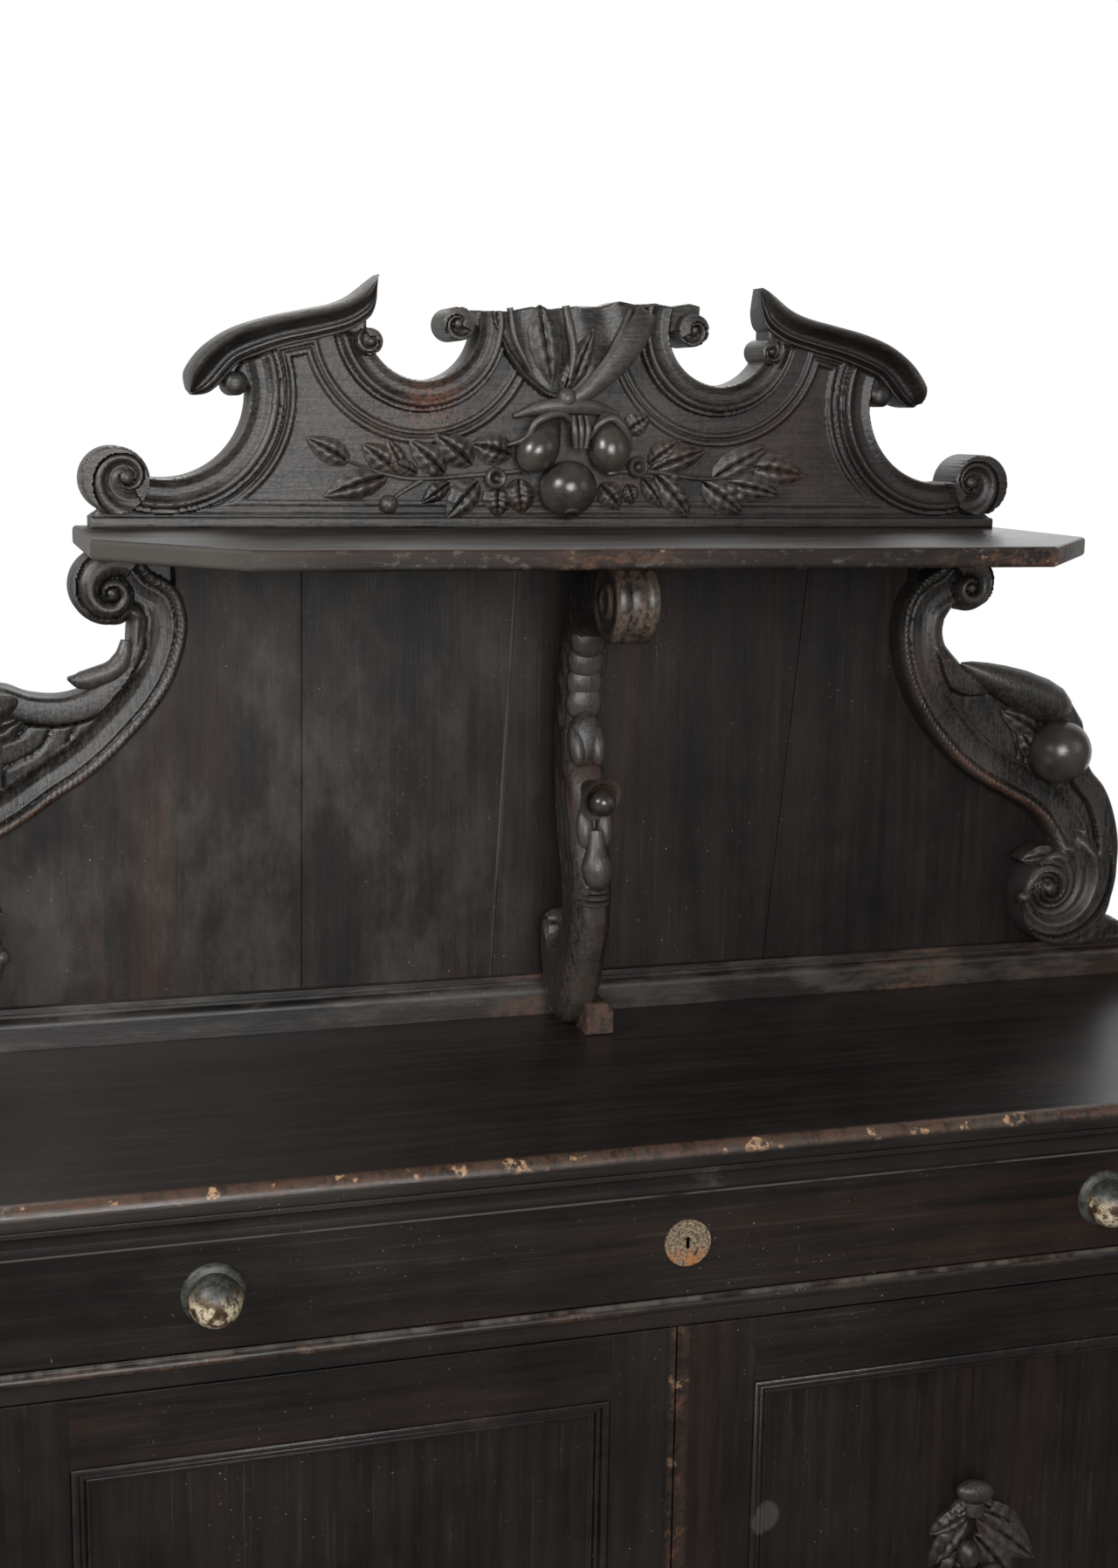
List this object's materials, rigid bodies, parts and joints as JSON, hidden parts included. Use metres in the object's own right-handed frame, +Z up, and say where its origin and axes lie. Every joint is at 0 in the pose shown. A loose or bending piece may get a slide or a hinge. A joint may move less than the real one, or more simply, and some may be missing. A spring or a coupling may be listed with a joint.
{
  "type": "sideboard",
  "caption": "Ebonised carved sideboard with a shelved back, scroll pediment and wings over a worktop, a frieze drawer and panelled doors, on a low moulded stand.",
  "frame": {"origin": "on the floor, under the middle of the whole object", "axes": "+Z up, -Y towards the front, +X to the right seen from the front"},
  "size_m": [1.7, 0.568, 1.877],
  "materials": {
    "ebonised_wood": "dark ebonised stain, worn satin polish, brown at the edges",
    "secondary_wood": "plain brown unpolished wood",
    "knob_wood": "dark turned wood, worn to a pale ochre",
    "brass": "dull aged brass",
    "iron": "dark forged iron"
  },
  "bodies": {
    "carcass": {"stand_rails": "ebonised_wood", "stand_corner_blocks": "secondary_wood", "block_feet": "ebonised_wood", "bottom_board": "ebonised_wood", "front_posts": "ebonised_wood", "rear_posts": "ebonised_wood", "side_rails": "ebonised_wood", "side_panels": "ebonised_wood", "cabinet_back_boards": "secondary_wood", "drawer_rail": "ebonised_wood", "drawer_runners": "secondary_wood", "top_rails": "ebonised_wood", "cupboard_shelf": "secondary_wood", "shelf_cleats": "secondary_wood", "worktop": "ebonised_wood", "bed_moulding": "ebonised_wood", "hinge_leaves": "iron", "back_board_far_left": "ebonised_wood", "back_board_left": "ebonised_wood", "back_board_centre": "ebonised_wood", "back_board_right": "ebonised_wood", "back_base_moulding": "ebonised_wood", "rear_battens": "secondary_wood", "side_wings": "ebonised_wood", "console_bracket": "ebonised_wood", "bracket_foot_block": "ebonised_wood", "gallery_shelf": "ebonised_wood", "pediment_board": "ebonised_wood", "pediment_caps": "ebonised_wood", "pediment_swag": "ebonised_wood"},
    "drawer": {"drawer_front": "ebonised_wood", "drawer_side_left": "secondary_wood", "drawer_side_right": "secondary_wood", "drawer_back": "secondary_wood", "drawer_bottom": "secondary_wood", "drawer_knobs": "knob_wood", "drawer_keyhole_plate": "brass", "drawer_lock": "iron"},
    "drawer_lock_bolt": {"drawer_lock_bolt": "iron"},
    "left_door": {"left_door_stiles": "ebonised_wood", "left_door_rails": "ebonised_wood", "left_door_panel": "ebonised_wood", "left_door_moulding": "ebonised_wood", "left_door_carving": "ebonised_wood", "left_door_hinges": "iron", "left_door_bolt_plate": "iron"},
    "left_door_bolt": {"left_door_bolt": "iron"},
    "right_door": {"right_door_stiles": "ebonised_wood", "right_door_rails": "ebonised_wood", "right_door_panel": "ebonised_wood", "right_door_moulding": "ebonised_wood", "right_door_carving": "ebonised_wood", "right_door_hinges": "iron", "right_door_lock": "iron"},
    "right_door_lock_bolt": {"right_door_lock_bolt": "iron"}
  },
  "joints": [
    {"name": "drawer_slide", "type": "slide", "parent": "carcass", "child": "drawer", "axis": [0, -1, 0], "range_m": [0, 0.32]},
    {"name": "drawer_lock_bolt_slide", "type": "slide", "parent": "drawer", "child": "drawer_lock_bolt", "axis": [0, 0, 1], "range_m": [0, 0.008]},
    {"name": "left_door_hinge", "type": "hinge", "parent": "carcass", "child": "left_door", "pos_m": [-0.701, -0.2449, 0.463], "axis": [0, 0, -1], "range_deg": [0, 105]},
    {"name": "left_door_bolt_slide", "type": "slide", "parent": "left_door", "child": "left_door_bolt", "axis": [0, 0, 1], "range_m": [0, 0.01]},
    {"name": "right_door_hinge", "type": "hinge", "parent": "carcass", "child": "right_door", "pos_m": [0.701, -0.2449, 0.463], "axis": [0, 0, 1], "range_deg": [0, 105]},
    {"name": "right_door_lock_bolt_slide", "type": "slide", "parent": "right_door", "child": "right_door_lock_bolt", "axis": [-1, 0, 0], "range_m": [0, 0.008]}
  ]
}
